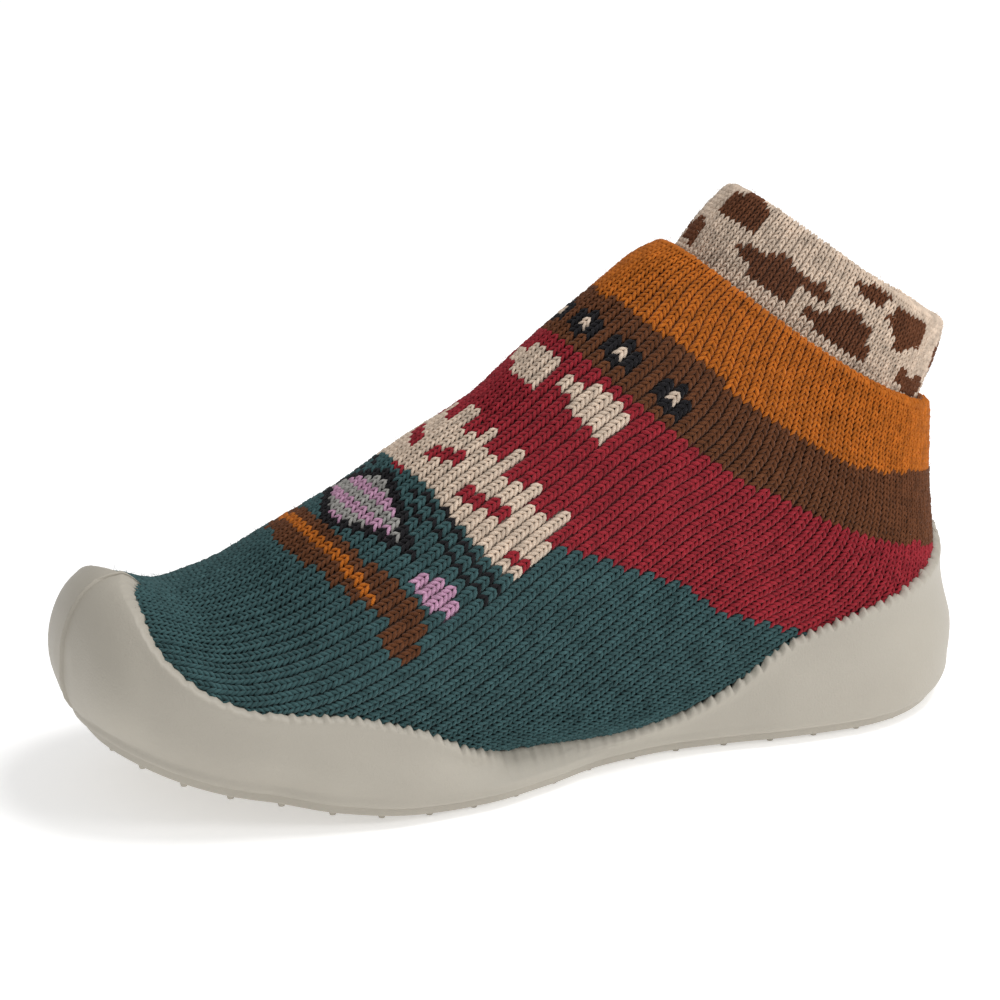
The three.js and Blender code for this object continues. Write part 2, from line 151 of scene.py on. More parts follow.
def sock_point(t, turn, heel_rise=0.0):
    """Points of the knit's outside in mm. t goes from the toe to the top band, turn round from the instep.
    heel_rise lifts the top band's edge at the heel, in mm."""
    t = np.asarray(t, float)
    places = np.linspace(0, 1, len(SOCK_ROWS))
    columns = [smooth_table(places, SOCK_ROWS[:, k], t) for k in range(8)]
    high_x, high_z, low_x, low_z, half, shift, square, droop = columns
    high_x, low_x = HEEL_BACK + high_x * SOCK_LENGTH, HEEL_BACK + low_x * SOCK_LENGTH
    high_z = sole_line(high_x) + SOLE_UNDER_FOOT + high_z * SOCK_HEIGHT
    low_z = sole_line(low_x) + SOLE_UNDER_FOOT + low_z * SOCK_HEIGHT
    c, s = np.cos(2 * np.pi * turn), np.sin(2 * np.pi * turn)
    power = 2 / np.where(c < 0, square, 2)
    along = np.sign(c) * np.abs(c) ** power
    side = np.sign(s) * np.abs(s) ** power
    k, bow = (1 + along) / 2, droop * (1 - along**2)
    x = low_x + (high_x - low_x) * k + (high_z - low_z) * bow
    z = low_z + (high_z - low_z) * k - (high_x - low_x) * bow
    y = SOCK_WIDTH * (shift + half * side)
    lift = heel_rise * np.clip((t - 0.88) / 0.12, 0, 1) ** 1.5 * ((1 - c) / 2) ** 1.5
    return np.stack([x, y, z + lift], -1) + CENTRED


def outward(grid):
    """Unit normals of a grid of loops, toe to top, each loop closed and turning by the wearer's left."""
    round_loop = np.roll(grid, -1, 1) - np.roll(grid, 1, 1)
    along = np.gradient(grid, axis=0)
    normal = np.cross(round_loop, along)
    return normal / np.maximum(np.linalg.norm(normal, axis=-1, keepdims=True), 1e-9)


# The wales are the knit's lines of stitches from toe to ankle. They spread over the instep at the forefoot
# and run evenly round the leg, a hundred in all, numbered from the instep to 50 either way.
WALES = 100
ROWS_OF_T = np.linspace(0, 1, 241)
SPREAD = 2.2


def wale_turn(t, wale):
    """The turn of each wale at each t, by distance along the loop."""
    # Half a loop, finest at the side, where the squarer underfoot part begins.
    fine = 0.25 + 0.25 * np.linspace(-1, 1, 401) ** 3
    turns = np.zeros(np.broadcast(t[:, None], wale[None]).shape)
    even = np.clip((t - 0.2) / 0.5, 0, 1)
    power = SPREAD + (1 - SPREAD) * even * even * (3 - 2 * even)
    for i, place in enumerate(t):
        loop = sock_point(np.full(len(fine), place), fine)
        gone = np.concatenate([[0], np.cumsum(np.linalg.norm(np.diff(loop, axis=0), axis=1))])
        share = 1 - (1 - np.abs(wale) / (WALES / 2)) ** power[i]
        turns[i] = np.sign(wale) * np.interp(share * gone[-1], gone, fine)
    return turns


wales = np.arange(WALES) - WALES / 2 + 0.5
BAND_HEEL_RISE = 4.2
wale_grid = sock_point(np.repeat(ROWS_OF_T[:, None], WALES, 1), wale_turn(ROWS_OF_T, wales), BAND_HEEL_RISE)
wale_normals = outward(wale_grid)
steps = np.linalg.norm(np.diff(wale_grid, axis=0), axis=2)
wale_arc = np.concatenate([np.zeros((1, WALES)), np.cumsum(steps, 0)])
COURSE = 0.93

# What each stitch is knitted in. The bands lie across the wales; each list gives t where a band ends, from
# the instep round to the heel. The charts are read from the ankle down, one letter a stitch.
YARNS = {
    "T": ("teal", (0.044, 0.096, 0.1)),
    "R": ("crimson", (0.29, 0.02, 0.03)),
    "B": ("brown", (0.125, 0.045, 0.018)),
    "O": ("orange", (0.46, 0.13, 0.014)),
    "C": ("cream", (0.66, 0.53, 0.42)),
    "S": ("chocolate", (0.14, 0.052, 0.024)),
    "K": ("black", (0.014, 0.013, 0.015)),
    "P": ("pink", (0.52, 0.29, 0.42)),
    "G": ("grey", (0.33, 0.32, 0.3)),
}
BAND_TURNS = (0, 0.07, 0.11, 0.15, 0.19, 0.245, 0.285, 0.36, 0.5)
BAND_ENDS = (
    ("R", (0.535, 0.541, 0.549, 0.566, 0.598, 0.64, 0.683, 0.73, 0.76)),
    ("B", (0.719, 0.719, 0.724, 0.742, 0.758, 0.798, 0.836, 0.87, 0.885)),
    ("O", (0.82, 0.828, 0.846, 0.854, 0.863, 0.886, 0.903, 0.928, 0.94)),
)
INSTEP_CHART = """
C.....C.....C.
C..C..C..C..C.
C..C..C..C..C.
C..C..C..C..C.
C.CC.CC.CC.CC.
CCCCCCCCCCCCC.
CCCCCCCCCCCCCC
CCCCCCCCCCCCCC
CCCRCCCCCRCCCC
CCRRCCCCRRCCCC
CRRRCCCRRRCCCC
CRRCCCRRRCCCCR
CRCCCCRRCCCCRR
CCCCCCRCCCCCRC
CCCCCCCCCCCCCC
CCCCCCCCCCCCC.
CCCCCCCCCCCC..
......KK......
....KK..KK..KK
K..K......KK..
KK....KK......
GKK.KK..KK..KK
GGKK......KK..
PPPKK.........
PPPPKK........
GGGGGKK....P..
GGGGGGKK..PPP.
PPPPPKK..PPPP.
PPPPKK...PPPP.
GGGKK....PPP..
GGKK......PP..
PKK...........
KK.....BBBBB..
K.....BBBBBBB.
BBBBBBBBBBBBB.
BBBBBBBBBBBBB.
OOOOOOOOBBBBBB
OOOOOOOOOBBBBB
BBBBBBBBB..BBB
BBBBBBBB...BBB
BBBBBB.....BB.
BBB...........
""".split()
FLOWER_CHART = """
.K.
KKK
KCK
KCK
KKK
.K.
""".split()
LATTICE_CHART = """
...C..
..CCC.
.CC.CC
CCCCC.
C.C.CC
CCCCC.
.CC.CC
..CCC.
...C..
""".split()
FLOWERS = ((0.757, 1.5), (0.76, 5.5), (0.771, 10.5), (0.757, -2.5), (0.76, -6.5), (0.771, -11.5))
LATTICES = ((0.687, 7.5), (0.678, 0.5), (0.687, -7.5))
INSTEP_MIDDLE = 0.521


def chart_letters(chart, middle_t, middle_wale, t, wale, arc, mirrored=False):
    """The chart's letter at each stitch, or a full stop outside it."""
    cells = np.array([list(row) for row in chart])
    level = np.array([np.interp(middle_t, ROWS_OF_T, wale_arc[:, j]) for j in range(WALES)])
    start = np.interp(wale, wales, level)
    row = np.round(len(chart) / 2 - 0.5 - (arc - start) / COURSE).astype(int)
    column = np.abs(wale) - 0.5 if mirrored else wale - middle_wale + (cells.shape[1] - 1) / 2
    column = np.round(column).astype(int)
    inside = (row >= 0) & (row < cells.shape[0]) & (column >= 0) & (column < cells.shape[1])
    found = np.full(t.shape, ".")
    found[inside] = cells[row[inside], column[inside]]
    return found


def sock_yarn(t, turn, wale, arc):
    """The letter of the yarn of each stitch: the bands first, then the charts over them."""
    letters = np.full(t.shape, "T")
    for letter, ends in BAND_ENDS:
        letters[t > np.interp(np.abs(turn), BAND_TURNS, ends)] = letter
    charts = [(INSTEP_CHART, INSTEP_MIDDLE, 0, True)]
    charts += [(FLOWER_CHART, *place, False) for place in FLOWERS]
    charts += [(LATTICE_CHART, *place, False) for place in LATTICES]
    for chart, middle_t, middle_wale, mirrored in charts:
        found = chart_letters(chart, middle_t, middle_wale, t, wale, arc, mirrored)
        letters = np.where(found == ".", letters, found)
    return letters


# The sock's ground under the stitches: a hollow wall with a looped lining inside, closed at the toe and
# rounded over where the top band turns in. It takes each stitch's colour darkened as painted shade: deep
# painted shadow in the gaps under the stitches and on the turned edge, lighter painted shade on the lining
# inside.
KNIT_WALL = 2.2
GROUND_DEPTH = 0.5
FOLD_START = 0.982


def mesh_object(name, points, faces, materials=()):
    """A smooth piece with its doubles merged, from points in mm."""
    mesh = bpy.data.meshes.new(name)
    mesh.from_pydata([tuple(p) for p in np.asarray(points) * MM], [], faces)
    bm = bmesh.new()
    bm.from_mesh(mesh)
    bmesh.ops.remove_doubles(bm, verts=bm.verts, dist=1e-6)
    bm.to_mesh(mesh)
    bm.free()
    for polygon in mesh.polygons:
        polygon.use_smooth = True
    thing = bpy.data.objects.new(name, mesh)
    collection.objects.link(thing)
    for material in materials:
        mesh.materials.append(material)
    return thing


def loop_faces(rows, columns, closed_ends=True, ring=False):
    """Faces of stacked loops, with a middle point after the last loop's points for each closed end."""
    faces = []
    for i in range(rows if ring else rows - 1):
        for j in range(columns):
            a, b = i * columns + j, i * columns + (j + 1) % columns
            c, d = ((i + 1) % rows) * columns + j, ((i + 1) % rows) * columns + (j + 1) % columns
            faces.append((a, b, d, c))
    if closed_ends:
        first, last = rows * columns, rows * columns + 1
        for j in range(columns):
            k = (j + 1) % columns
            faces.append((first, k, j))
            faces.append((last, (rows - 1) * columns + j, (rows - 1) * columns + k))
    return faces


def tex(material, kind, **values):
    """A node of the material, with its own settings or its inputs given by name."""
    node = material.node_tree.nodes.new(kind)
    for key, value in values.items():
        if hasattr(node, key):
            setattr(node, key, value)
        else:
            node.inputs[key.replace("_", " ").title()].default_value = value
    return node


def finish_nodes(name, roughness, sheen):
    material = bpy.data.materials.new(name)
    material.use_nodes = True
    shader = material.node_tree.nodes["Principled BSDF"]
    shader.inputs["Roughness"].default_value = roughness
    shader.inputs["Sheen Weight"].default_value = sheen
    shader.inputs["Sheen Roughness"].default_value = 0.45
    return material, shader, material.node_tree.links


def add_noise_bump(material, scale, height, detail=3):
    """Fine unevenness in the surface. Returns the coordinates' node."""
    links = material.node_tree.links
    place = tex(material, "ShaderNodeTexCoord")
    noise = tex(material, "ShaderNodeTexNoise", scale=scale, detail=detail)
    bump = tex(material, "ShaderNodeBump", distance=height, strength=0.8)
    links.new(place.outputs["Object"], noise.inputs["Vector"])
    links.new(noise.outputs["Fac"], bump.inputs["Height"])
    links.new(bump.outputs["Normal"], material.node_tree.nodes["Principled BSDF"].inputs["Normal"])
    return place


ground, ground_shader, ground_links = finish_nodes("knit_ground", 0.95, 0.0)
# The ground's colour attribute holds the stitch colours with painted shade already in them.
ground_colour = tex(ground, "ShaderNodeAttribute", attribute_name="yarn_colour_with_painted_shade")
ground_links.new(ground_colour.outputs["Color"], ground_shader.inputs["Base Color"])
add_noise_bump(ground, 1400, 0.0004)


def paint(thing, colours):
    """Keeps a colour for each point of the piece."""
    layer = thing.data.color_attributes.new("yarn_colour_with_painted_shade", "FLOAT_COLOR", "POINT")
    rgba = np.concatenate([colours, np.ones((len(colours), 1))], 1)
    layer.data.foreach_set("color", rgba.ravel())


def fold(grid, normals, thickness, steps_over=5):
    """Loops over the rounded top of a wall: half a turn from its outside to its inside."""
    along = grid[-1] - grid[-2]
    along /= np.linalg.norm(along, axis=-1, keepdims=True)
    middle = grid[-1] - normals[-1] * thickness / 2
    angles = np.linspace(0, np.pi, steps_over + 2)[1:-1]
    half = thickness / 2
    return np.stack([middle + half * (normals[-1] * math.cos(a) + along * math.sin(a)) for a in angles])


ground_t = np.concatenate([np.linspace(0, 0.1, 12), np.linspace(0.106, FOLD_START, 150)])
ground_wales = np.arange(WALES) - WALES / 2
ground_turn = wale_turn(ground_t, ground_wales)
ground_t_marks = np.repeat(ground_t[:, None], WALES, 1)
ground_wale_marks = np.repeat(ground_wales[None], len(ground_t), 0)
ground_outer = sock_point(ground_t_marks, ground_turn, BAND_HEEL_RISE)
ground_normals = outward(ground_outer)
ground_arc = np.stack([np.interp(ground_t, ROWS_OF_T, wale_arc[:, j]) for j in range(WALES)], 1)
outside = ground_outer - ground_normals * GROUND_DEPTH
LINING_FROM = 14
inside = (ground_outer - ground_normals * KNIT_WALL)[LINING_FROM::2][::-1]
turned_edge = fold(outside, ground_normals, KNIT_WALL - GROUND_DEPTH)
loops = np.concatenate([outside, turned_edge, inside])
letters = sock_yarn(ground_t_marks, ground_turn, ground_wale_marks, ground_arc)
shade = {letter: np.array(colour) for letter, (_, colour) in YARNS.items()}
outer_colours = np.array([[shade[c] for c in row] for row in letters])
edge_colours = np.repeat(outer_colours[-1:], len(turned_edge), 0)
lining_colours = outer_colours[LINING_FROM::2][::-1]
# Painted shade: the ground under the stitches and under the turned edge is darkened to stand for the shadow
# between stitches, and the lining is dimmed to stand for the shade inside the sock.
UNDER_PAINTED_SHADE, EDGE_PAINTED_SHADE, LINING_PAINTED_SHADE = 0.3, 0.35, 0.75
colours = np.concatenate(
    [outer_colours * UNDER_PAINTED_SHADE, edge_colours * EDGE_PAINTED_SHADE, lining_colours * LINING_PAINTED_SHADE]
)
ends = np.stack([loops[0].mean(0), loops[-1].mean(0)])
sock_ground = mesh_object(
    "knit_sock",
    np.concatenate([loops.reshape(-1, 3), ends]),
    loop_faces(len(loops), WALES),
    [ground],
)
point_colours = np.concatenate([colours.reshape(-1, 3), colours[0, :1], colours[-1, :1]])
paint(sock_ground, point_colours[: len(sock_ground.data.vertices)])
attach(sock_ground, "root")
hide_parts("sock_body")

# The one-piece rubber sole, moulded onto the knit: a rounded lip, a slightly hollow side wall that swells
# to a bumper, a step, and an inset tread. It is drawn station by station round the foot's middle line, and
# each row gives the place from heel to toe, the lip's angle in degrees and the reach in widths of the sock.
LIP, BUMPER, BUMPER_HEIGHT, TREAD, TREAD_INSET = 1.3, 1.7, 3.4, 1.8, 1.5
LIP_ROUND, BEAD, BEAD_REACH, WALL_HOLLOW, KNIT_SINK = 1.0, 0.22, 0.8, 0.45, 0.25
MIDDLE_HEIGHT = 0.14 * SOCK_HEIGHT
HEEL_TURN, TOE_TURN, TOE_SHIFT = 0.2, 0.8, -0.02
HEEL_CENTRE = HEEL_BACK + 0.45 * SOCK_WIDTH
TOE_CENTRE = HEEL_BACK + SOCK_LENGTH - 0.42 * SOCK_WIDTH
SEAM_WIDTH, SEAM_HEIGHT = 0.7, 0.55
RAGGED_EDGE, RAGGED_REACH, SMOOTHER_TOE = 1.2, 1.3, 0.6
RIM_LENGTH = 195
RUBBER_ROWS = np.array(
    [
        (0, 29, 0.515),
        (0.1, 20, 0.5),
        (0.2, 13.5, 0.495),
        (0.27, 7.5, 0.475),
        (0.33, -6, 0.44),
        (0.4, -16, 0.415),
        (0.46, -19, 0.43),
        (0.53, -19, 0.495),
        (0.6, -10, 0.54),
        (0.67, 2.5, 0.545),
        (0.74, 7, 0.51),
        (0.8, 6, 0.44),
        (0.84, 12, 0.43),
        (0.88, 24, 0.42),
        (0.93, 43, 0.405),
        (1, 55, 0.395),
    ]
)
FORM_LOOPS, FORM_POINTS = 181, 120
form_t = np.repeat(np.linspace(0, 1, FORM_LOOPS)[:, None], FORM_POINTS, 1)
form_turn = np.repeat(np.arange(FORM_POINTS)[None] / FORM_POINTS, FORM_LOOPS, 0)
knit_loops = sock_point(form_t, form_turn)
knit_points = np.concatenate([knit_loops.reshape(-1, 3), [knit_loops[0].mean(0), knit_loops[-1].mean(0)]])
knit_form = BVHTree.FromPolygons([tuple(p) for p in knit_points], loop_faces(FORM_LOOPS, FORM_POINTS))


def rubber_station(place, side, sideways=0.0, ridge=0.0):
    """One profile of the rubber in mm, from the lip down the wall and the tread, and back up inside."""
    turn = 1 - place / HEEL_TURN if place < HEEL_TURN else max(0, (place - TOE_TURN) / (1 - TOE_TURN))
    end = -1 if place < HEEL_TURN else 1
    along = min(1, max(0, (place - HEEL_TURN) / (TOE_TURN - HEEL_TURN)))
    x = HEEL_CENTRE + along * (TOE_CENTRE - HEEL_CENTRE)
    y = SOCK_WIDTH * TOE_SHIFT * along**3 + sideways
    centre = np.array((x, y, float(sole_line(x)) + SOLE_UNDER_FOOT + MIDDLE_HEIGHT)) + CENTRED
    angle = turn * math.pi / 2
    out = np.array((end * math.sin(angle), side * math.cos(angle), 0))

    def level(distance, height):
        """A point at this distance from the middle line and this height over the tread."""
        point = centre + out * distance
        point[2] = float(sole_line(point[0] - CENTRED[0])) + height
        return point

    def knit_reach(rise):
        """How far the knit is in this direction, the direction, and how far it slants."""
        way = out * math.cos(rise) + np.array((0, 0, math.sin(rise)))
        _, normal, _, distance = knit_form.ray_cast(Vector(centre), Vector(way))
        return distance, way, 1 / max(0.5, abs(normal.dot(Vector(way))))

    reach = float(smooth_table(RUBBER_ROWS[:, 0], RUBBER_ROWS[:, 2], place)) * SOCK_WIDTH
    bumper = level(reach, BUMPER_HEIGHT) - centre
    bottom = math.asin(bumper[2] / np.linalg.norm(bumper))
    edge = math.radians(float(smooth_table(RUBBER_ROWS[:, 0], RUBBER_ROWS[:, 1], place)))
    top = max(edge, bottom + 0.07)
    under, way_under, _ = knit_reach(bottom)
    gain = max(BUMPER, np.linalg.norm(bumper) - under)
    run = place * RIM_LENGTH
    ragged = 0.3 * math.sin(run * 3.3) + 0.16 * math.sin(run * 2.1 + 1) + 0.1 * math.sin(run * 5.3 + 2)
    smoother = 1 - SMOOTHER_TOE * min(1, max(0, (place - 0.6) / 0.2))
    bite = RAGGED_EDGE * smoother * ragged / under
    wall_length = (top - bottom) * under
    bite *= min(1, wall_length / 5)
    lip_shares = np.array((0, 0.06, 0.2, 0.45, 0.75, 1)) * min(0.3, 1.1 / wall_length)
    shares = np.concatenate([lip_shares, np.linspace(lip_shares[-1], 1, 17)[1:]])
    profile = []
    for f in shares:
        down = f * wall_length
        bitten = bite * math.exp(-((down / RAGGED_REACH) ** 2))
        distance, way, slant = knit_reach(top + (bottom - top) * f + bitten)
        rounding = math.sqrt(max(0, 1 - (1 - min(1, down / LIP_ROUND)) ** 2))
        bead = BEAD * math.exp(-(((down - LIP_ROUND) / BEAD_REACH) ** 2))
        hollow = WALL_HOLLOW * math.sin(math.pi * min(1, f * 1.15)) ** 2 * min(1, wall_length / 12)
        thickness = slant * LIP * (1 - f**2) + gain * f**2 + bead - hollow * (1 - f)
        seam = ridge * min(1, (1 - f) * 8) * rounding
        thickness = thickness * rounding - KNIT_SINK * (1 - rounding) + seam
        profile.append(centre + way * (distance + thickness))
    widest = way_under.dot(out) * (under + gain)
    tread = min(widest, reach) - TREAD_INSET
    corner = [(widest + 0.06, 2.9), (widest + 0.02, 2.35), (widest - 0.12, 2.02), (widest - 0.4, 1.84)]
    strip = [(tread + 0.15, TREAD), (tread, TREAD - 0.15), (tread, 0.4)]
    strip += [(tread - 0.12, 0.12), (tread - 0.4, 0)]
    middle = [(share * tread, 0) for share in (0.75, 0.5, 0.25, 0)]
    profile += [level(*spot) for spot in corner + strip + middle]
    inner = []
    for step, rise in enumerate(np.linspace(top + bite, -math.pi / 2, 12)):
        distance, way, _ = knit_reach(rise)
        inner.append(centre + way * (distance + 0.05 if step else distance - KNIT_SINK))
    return inner[::-1] + profile[1:]


END_STATIONS, SIDE_STATIONS = 76, 240
heel_places = np.linspace(0, HEEL_TURN, END_STATIONS)[:-1]
side_places = np.linspace(HEEL_TURN, TOE_TURN, SIDE_STATIONS)[:-1]
toe_places = np.linspace(TOE_TURN, 1, END_STATIONS)[:-1]
places = np.concatenate([heel_places, side_places, toe_places])
left_stations = [rubber_station(place, 1) for place in places]
right_stations = [rubber_station(place, -1) for place in places[:0:-1]]
SEAM_SHAPE = ((0.5, 0), (0.25, 0.75), (0, 1), (-0.25, 0.75), (-0.5, 0))
seam_stations = [rubber_station(1, 1, SEAM_WIDTH * across, SEAM_HEIGHT * rise) for across, rise in SEAM_SHAPE]
stations = left_stations + seam_stations + right_stations
rubber_loops = np.array(stations).transpose(1, 0, 2)
sole_points = rubber_loops.reshape(-1, 3)
sole_faces = loop_faces(rubber_loops.shape[0], rubber_loops.shape[1], closed_ends=False)

rubber, rubber_shader, rubber_links = finish_nodes("moulded_rubber", 0.52, 0.0)
rubber_place = add_noise_bump(rubber, 2600, 0.00008, 4)
rubber_mottle = tex(rubber, "ShaderNodeTexNoise", scale=45, detail=4)
rubber_tint = tex(rubber, "ShaderNodeValToRGB")
rubber_tint.color_ramp.elements[0].position = 0.3
rubber_tint.color_ramp.elements[0].color = (0.385, 0.352, 0.296, 1)
rubber_tint.color_ramp.elements[1].position = 0.7
rubber_tint.color_ramp.elements[1].color = (0.425, 0.392, 0.33, 1)
rubber_links.new(rubber_place.outputs["Object"], rubber_mottle.inputs["Vector"])
rubber_links.new(rubber_mottle.outputs["Fac"], rubber_tint.inputs["Fac"])
rubber_links.new(rubber_tint.outputs["Color"], rubber_shader.inputs["Base Color"])
rubber_gloss = tex(rubber, "ShaderNodeMapRange")
rubber_gloss.inputs["To Min"].default_value = 0.46
rubber_gloss.inputs["To Max"].default_value = 0.6
rubber_links.new(rubber_mottle.outputs["Fac"], rubber_gloss.inputs["Value"])
rubber_links.new(rubber_gloss.outputs["Result"], rubber_shader.inputs["Roughness"])


def face_outwards(thing):
    bm = bmesh.new()
    bm.from_mesh(thing.data)
    bmesh.ops.recalc_face_normals(bm, faces=bm.faces)
    bm.to_mesh(thing.data)
    bm.free()


sole = mesh_object("moulded_sole", sole_points, sole_faces, [rubber])
face_outwards(sole)
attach(sole, "root")
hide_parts("rubber_sole")
sole_form = BVHTree.FromPolygons([tuple(p) for p in sole_points], sole_faces)

# Two round grips on the back of the heel cup, moulded with it, the upper one larger.
heel_studs = []
stud_faces = []
STUD_PROFILE = ((2.2, -0.8), (2.2, 0.35), (2.1, 0.75), (1.85, 1.05), (1.4, 1.2), (0.5, 1.22), (0, 1.22))
STUD_SIDES = 28
for share, size in ((0.19, 1.0), (0.095, 0.75)):
    height = float(sole_line(HEEL_BACK - 3)) + share * SOCK_HEIGHT
    hit = sole_form.ray_cast(Vector((-120, CENTRED[1], height)), Vector((1, 0, 0)))[0]
    turn = np.linspace(0, 2 * np.pi, STUD_SIDES + 1)[:-1]
    start = len(heel_studs) * STUD_SIDES
    for radius, proud in STUD_PROFILE:
        ring_y = hit.y + size * radius * np.cos(turn)
        ring_z = height + size * radius * np.sin(turn)
        heel_studs.append(np.stack([np.full(STUD_SIDES, hit.x - proud), ring_y, ring_z], 1))
    faces = loop_faces(len(STUD_PROFILE), STUD_SIDES, closed_ends=False)
    stud_faces += [tuple(v + start for v in face) for face in faces]
    stud_faces.append(tuple(start + k for k in range(STUD_SIDES)))
studs = mesh_object("heel_grips", np.concatenate(heel_studs), stud_faces, [rubber])
face_outwards(studs)
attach(studs, "root")

# Laid yarn: one tree lays the same short bent strand on every given point, turned to its wale and to the
# surface. With a twin it is a knitted stitch of two legs, and without it a loose fibre.


def tree_with(name, inputs):
    """An empty Geometry Nodes tree with these named inputs."""
    tree = bpy.data.node_groups.new(name, "GeometryNodeTree")
    tree.interface.new_socket(name="Geometry", in_out="INPUT", socket_type="NodeSocketGeometry")
    for label, kind in inputs:
        tree.interface.new_socket(name=label, in_out="INPUT", socket_type="NodeSocket" + kind)
    tree.interface.new_socket(name="Geometry", in_out="OUTPUT", socket_type="NodeSocketGeometry")
    return tree


def input_keys(tree):
    return {s.name: s.identifier for s in tree.interface.items_tree if s.in_out == "INPUT"}


def yarn_tree():
    inputs = [("Start", "Vector"), ("Middle", "Vector"), ("End", "Vector"), ("Radius", "Float")]
    inputs += [("Taper", "Float"), ("Sides", "Int"), ("Twin", "Bool"), ("Yarn", "Material")]
    tree = tree_with("laid_yarn", inputs)
    node = tree.nodes.new
    link = tree.links.new
    given = node("NodeGroupInput")
    result = node("NodeGroupOutput")
    strand = node("GeometryNodeCurveQuadraticBezier")
    strand.inputs["Resolution"].default_value = 3
    for name in ("Start", "Middle", "End"):
        link(given.outputs[name], strand.inputs[name])
    twin = node("GeometryNodeTransform")
    twin.inputs["Scale"].default_value = (-1, 1, 1)
    link(strand.outputs[0], twin.inputs[0])
    pair = node("GeometryNodeJoinGeometry")
    link(strand.outputs[0], pair.inputs[0])
    link(twin.outputs[0], pair.inputs[0])
    choice = node("GeometryNodeSwitch")
    choice.input_type = "GEOMETRY"
    link(given.outputs["Twin"], choice.inputs[0])
    link(strand.outputs[0], choice.inputs["False"])
    link(pair.outputs[0], choice.inputs["True"])

    def maths(operation, a, b):
        step = node("ShaderNodeMath")
        step.operation = operation
        for socket, value in zip(step.inputs, (a, b)):
            if isinstance(value, (int, float)):
                socket.default_value = value
            else:
                link(value, socket)
        return step.outputs[0]

    way = node("GeometryNodeSplineParameter").outputs["Factor"]
    from_middle = maths("ABSOLUTE", maths("SUBTRACT", maths("MULTIPLY", way, 2), 1), 0)
    thinner = maths("MULTIPLY", maths("POWER", from_middle, 2), given.outputs["Taper"])
    width = node("GeometryNodeSetCurveRadius")
    link(choice.outputs[0], width.inputs["Curve"])
    link(maths("SUBTRACT", 1, thinner), width.inputs["Radius"])
    section = node("GeometryNodeCurvePrimitiveCircle")
    link(given.outputs["Sides"], section.inputs["Resolution"])
    link(given.outputs["Radius"], section.inputs["Radius"])
    sweep = node("GeometryNodeCurveToMesh")
    sweep.inputs["Fill Caps"].default_value = True
    link(width.outputs[0], sweep.inputs["Curve"])
    link(section.outputs[0], sweep.inputs["Profile Curve"])

    def attribute(name):
        reader = node("GeometryNodeInputNamedAttribute")
        reader.data_type = "FLOAT_VECTOR"
        reader.inputs[0].default_value = name
        return reader.outputs[0]

    stand = node("FunctionNodeAlignRotationToVector")
    stand.axis = "Z"
    link(attribute("out"), stand.inputs["Vector"])
    head = node("FunctionNodeAlignRotationToVector")
    head.axis = "Y"
    head.pivot_axis = "Z"
    link(stand.outputs[0], head.inputs["Rotation"])
    link(attribute("along"), head.inputs["Vector"])
    lay = node("GeometryNodeInstanceOnPoints")
    link(given.outputs[0], lay.inputs["Points"])
    link(sweep.outputs[0], lay.inputs["Instance"])
    link(head.outputs[0], lay.inputs["Rotation"])
    link(attribute("size"), lay.inputs["Scale"])
    real = node("GeometryNodeRealizeInstances")
    link(lay.outputs[0], real.inputs[0])
    smooth = node("GeometryNodeSetShadeSmooth")
    link(real.outputs[0], smooth.inputs[0])
    dye = node("GeometryNodeSetMaterial")
    link(smooth.outputs[0], dye.inputs[0])
    link(given.outputs["Yarn"], dye.inputs["Material"])
    link(dye.outputs[0], result.inputs[0])
    return tree


laid_yarn = yarn_tree()


def lay_yarn(name, points, along, out, size, material, **shape):
    """A piece of yarn strands at the points, in mm, as one plain mesh."""
    mesh = bpy.data.meshes.new(name)
    mesh.from_pydata([tuple(p) for p in points * MM], [], [])
    for key, values in (("along", along), ("out", out), ("size", size)):
        layer = mesh.attributes.new(key, "FLOAT_VECTOR", "POINT")
        layer.data.foreach_set("vector", np.ascontiguousarray(values, dtype=np.float32).ravel())
    thing = bpy.data.objects.new(name, mesh)
    collection.objects.link(thing)
    modifier = thing.modifiers.new("laid_yarn", "NODES")
    modifier.node_group = laid_yarn
    inputs = input_keys(laid_yarn)
    modifier[inputs["Yarn"]] = material
    for key, value in shape.items():
        modifier[inputs[key]] = value
    evaluated = thing.evaluated_get(bpy.context.evaluated_depsgraph_get())
    plain = bpy.data.meshes.new_from_object(evaluated)
    thing.modifiers.remove(modifier)
    thing.data = plain
    for key in ("along", "out", "size"):
        layer = plain.attributes.get(key)
        if layer:
            plain.attributes.remove(layer)
    bpy.data.meshes.remove(mesh)
    return thing


# One leg of a stitch in metres, its other leg mirrored: across the wale, along it and out of the knit.
STITCH = {
    "Start": (0.00062, -0.00068, -0.00034),
    "Middle": (0.00046, -0.00004, 0.00066),
    "End": (0.00004, 0.00068, -0.00028),
    "Radius": 0.00029,
    "Taper": 0.4,
    "Sides": 4,
    "Twin": True,
}
FIBRE = {
    "Start": (0, 0, 0),
    "Middle": (0.0001, 0.0002, 0.0009),
    "End": (0.0009, 0.0004, 0.0011),
    "Radius": 0.00004,
    "Taper": 0.3,
    "Sides": 3,
    "Twin": False,
}
NOMINAL_PITCH = 1.8


